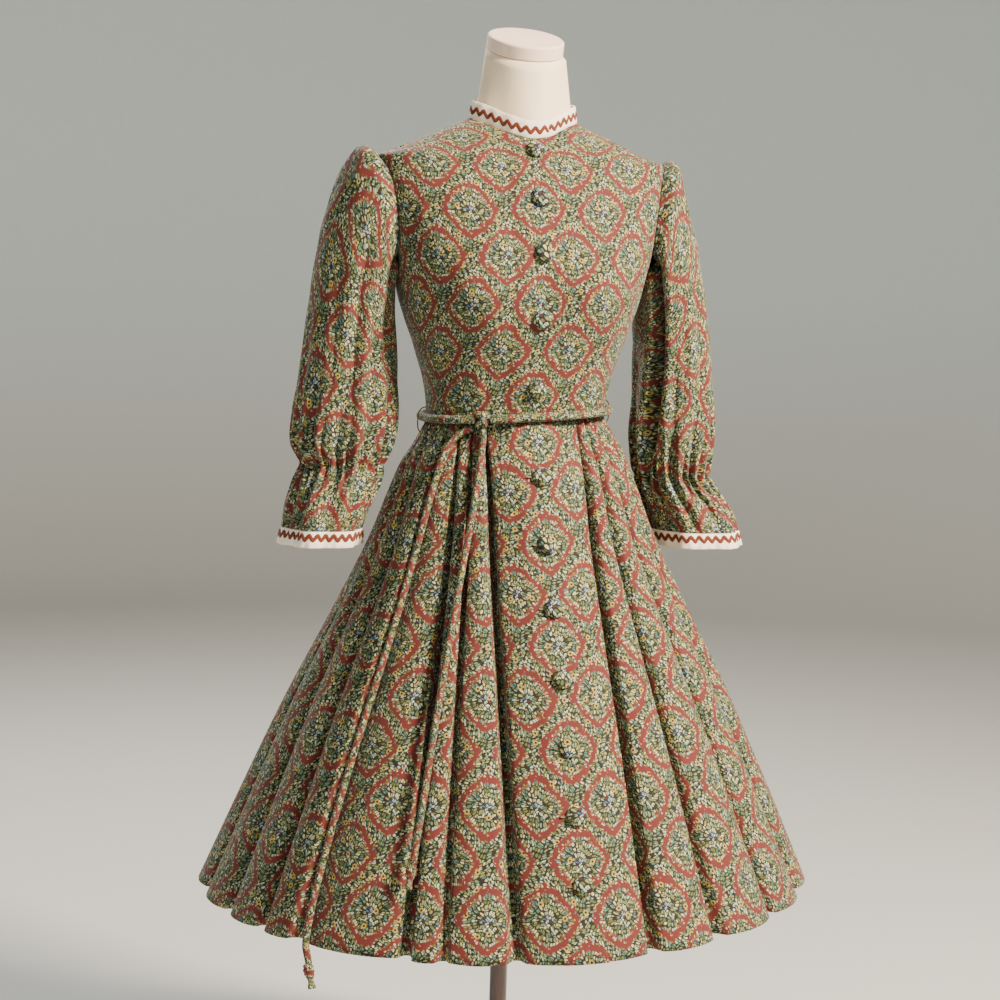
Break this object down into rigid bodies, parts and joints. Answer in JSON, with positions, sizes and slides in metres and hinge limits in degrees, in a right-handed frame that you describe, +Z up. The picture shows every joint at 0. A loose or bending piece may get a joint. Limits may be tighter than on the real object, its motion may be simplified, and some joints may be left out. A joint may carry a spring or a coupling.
{
  "type": "shirtwaist dress on a dress form",
  "caption": "Belted button-front cotton dress with gathered-cuff sleeves and a full pleated skirt, worn by a limbless dress form on a pole stand.",
  "frame": {"origin": "centre of the stand's round underside, on the floor", "axes": "+Z up, -Y the front of the dress, +X the wearer's left"},
  "size_m": [0.7768, 0.783, 1.5066],
  "materials": {
    "printed_cotton": "plain-woven cotton with an all-over print of flowers in red rings",
    "button_cotton": "printed cotton drawn over a dome",
    "rouleau_cotton": "printed cotton sewn into a round cord",
    "white_cotton": "white plain-woven cotton",
    "rust_braid": "woven zigzag braid",
    "thread": "twisted sewing thread",
    "form_jersey": "fine cream jersey, stretched",
    "cap_jersey": "fine cream jersey, stretched",
    "varnished_wood": "turned wood, dark stain under gloss varnish"
  },
  "bodies": {
    "root": {"belt": "rouleau_cotton", "belt_knot": "rouleau_cotton", "belt_loop_left": "thread", "belt_loop_right": "thread", "bodice_back": "printed_cotton", "bodice_front_left": "printed_cotton", "bodice_front_right": "printed_cotton", "button_01": "button_cotton", "button_02": "button_cotton", "button_03": "button_cotton", "button_04": "button_cotton", "button_05": "button_cotton", "button_06": "button_cotton", "button_07": "button_cotton", "button_08": "button_cotton", "button_09": "button_cotton", "button_10": "button_cotton", "button_11": "button_cotton", "button_12": "button_cotton", "collar_band": "white_cotton", "collar_ricrac": "rust_braid", "cuff_band_left": "white_cotton", "cuff_band_right": "white_cotton", "cuff_ricrac_left": "rust_braid", "cuff_ricrac_right": "rust_braid", "form_base": "varnished_wood", "form_neck_cap": "cap_jersey", "form_pole": "varnished_wood", "form_torso": "form_jersey", "skirt_back": "printed_cotton", "skirt_front_left": "printed_cotton", "skirt_front_right": "printed_cotton", "sleeve_left": "printed_cotton", "sleeve_right": "printed_cotton", "tie_end_long": "rouleau_cotton", "tie_end_short": "rouleau_cotton", "tie_tip_long": "rouleau_cotton", "tie_tip_short": "rouleau_cotton"}
  },
  "joints": []
}
